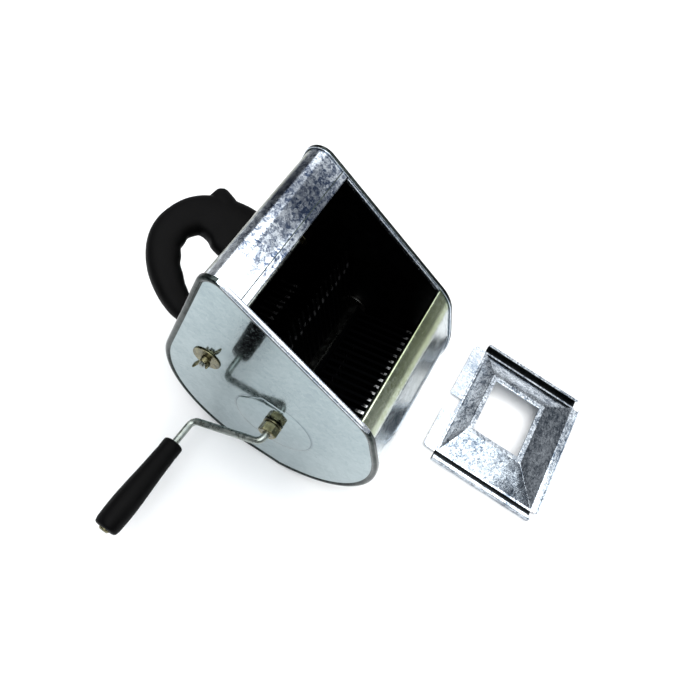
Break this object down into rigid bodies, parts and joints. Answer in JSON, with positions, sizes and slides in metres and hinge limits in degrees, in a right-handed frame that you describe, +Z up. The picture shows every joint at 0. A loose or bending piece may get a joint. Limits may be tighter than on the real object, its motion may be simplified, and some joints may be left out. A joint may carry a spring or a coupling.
{
  "type": "roughcast thrower",
  "caption": "Hand-cranked roughcast thrower: sheet drum with a sloping mouth, tined rotor, striker bar, bent crank and carry handle, with its mouth reducer lying beside it.",
  "frame": {"origin": "centre of the whole object's bounding box, on the surface that the casing and the reducer stand on", "axes": "+X along the axle from the crank side to the far side, +Y towards the carry handle, +Z up; the mouth faces up and towards -Y"},
  "size_m": [0.6078, 0.686, 0.391],
  "materials": {
    "cheek_sheet": "smooth galvanised, satin",
    "galvanised_sheet": "spangled galvanised",
    "yellow_zinc": "yellow passivated zinc",
    "zinc_rod": "zinc plated",
    "spring_steel": "bare spring steel",
    "bush_steel": "turned steel",
    "black_plastic": "moulded, slightly glossy"
  },
  "bodies": {
    "casing": {"cheek_crank_side": "cheek_sheet", "mouth_strip_crank_side": "galvanised_sheet", "axle_bush_crank_side": "bush_steel", "cheek_far_side": "cheek_sheet", "mouth_strip_far_side": "galvanised_sheet", "axle_bush_far_side": "bush_steel", "wrapper_sheet": "galvanised_sheet", "carry_handle": "black_plastic", "handle_screw_crank_side": "yellow_zinc", "handle_screw_far_side": "yellow_zinc"},
    "rotor": {"rotor_hub": "spring_steel", "tine_comb_1": "spring_steel", "clamp_bar_1": "bush_steel", "tine_comb_2": "spring_steel", "clamp_bar_2": "bush_steel", "tine_comb_3": "spring_steel", "clamp_bar_3": "bush_steel", "tine_comb_4": "spring_steel", "clamp_bar_4": "bush_steel", "shaft_washer_crank_side": "yellow_zinc", "shaft_washer_far_side": "yellow_zinc", "shaft_nut_far_side": "yellow_zinc", "crank_nut": "yellow_zinc", "crank_rod": "zinc_rod", "grip_retainer": "yellow_zinc"},
    "grip": {"crank_grip": "black_plastic"},
    "striker": {"striker_bar": "zinc_rod", "plate_washer_crank_side": "yellow_zinc", "inner_washer_crank_side": "yellow_zinc", "inner_nut_crank_side": "yellow_zinc", "plate_washer_far_side": "yellow_zinc", "inner_washer_far_side": "yellow_zinc", "inner_nut_far_side": "yellow_zinc"},
    "wing_nut_crank": {"wing_nut_crank_side": "yellow_zinc"},
    "wing_nut_far": {"wing_nut_far_side": "yellow_zinc"},
    "reducer": {"reducer_funnel": "galvanised_sheet", "reducer_channel_crank_side": "galvanised_sheet", "reducer_channel_far_side": "galvanised_sheet", "reducer_tab_strip": "galvanised_sheet", "reducer_front_lip": "galvanised_sheet"}
  },
  "joints": [
    {"name": "rotor_spin", "type": "hinge", "parent": "casing", "child": "rotor", "pos_m": [0.03043, 0.08246, 0.135], "axis": [1, 0, 0], "continuous": true},
    {"name": "grip_spin", "type": "hinge", "parent": "rotor", "child": "grip", "pos_m": [-0.16251, 0.18127, 0.07795], "axis": [-0.9986, 0.0453, -0.0262], "continuous": true},
    {"name": "striker_adjust", "type": "slide", "parent": "casing", "child": "striker", "axis": [0, 0.854, 0.5203], "range_m": [0, 0.008]},
    {"name": "wing_nut_crank_side_turn", "type": "hinge", "parent": "striker", "child": "wing_nut_crank", "pos_m": [0.03043, 0.19451, 0.20326], "axis": [1, 0, 0], "continuous": true},
    {"name": "wing_nut_far_side_turn", "type": "hinge", "parent": "striker", "child": "wing_nut_far", "pos_m": [0.03043, 0.19451, 0.20326], "axis": [1, 0, 0], "continuous": true},
    {"name": "reducer_lift", "type": "slide", "parent": "casing", "child": "reducer", "axis": [0, 0, 1], "range_m": [0, 0.2]}
  ]
}
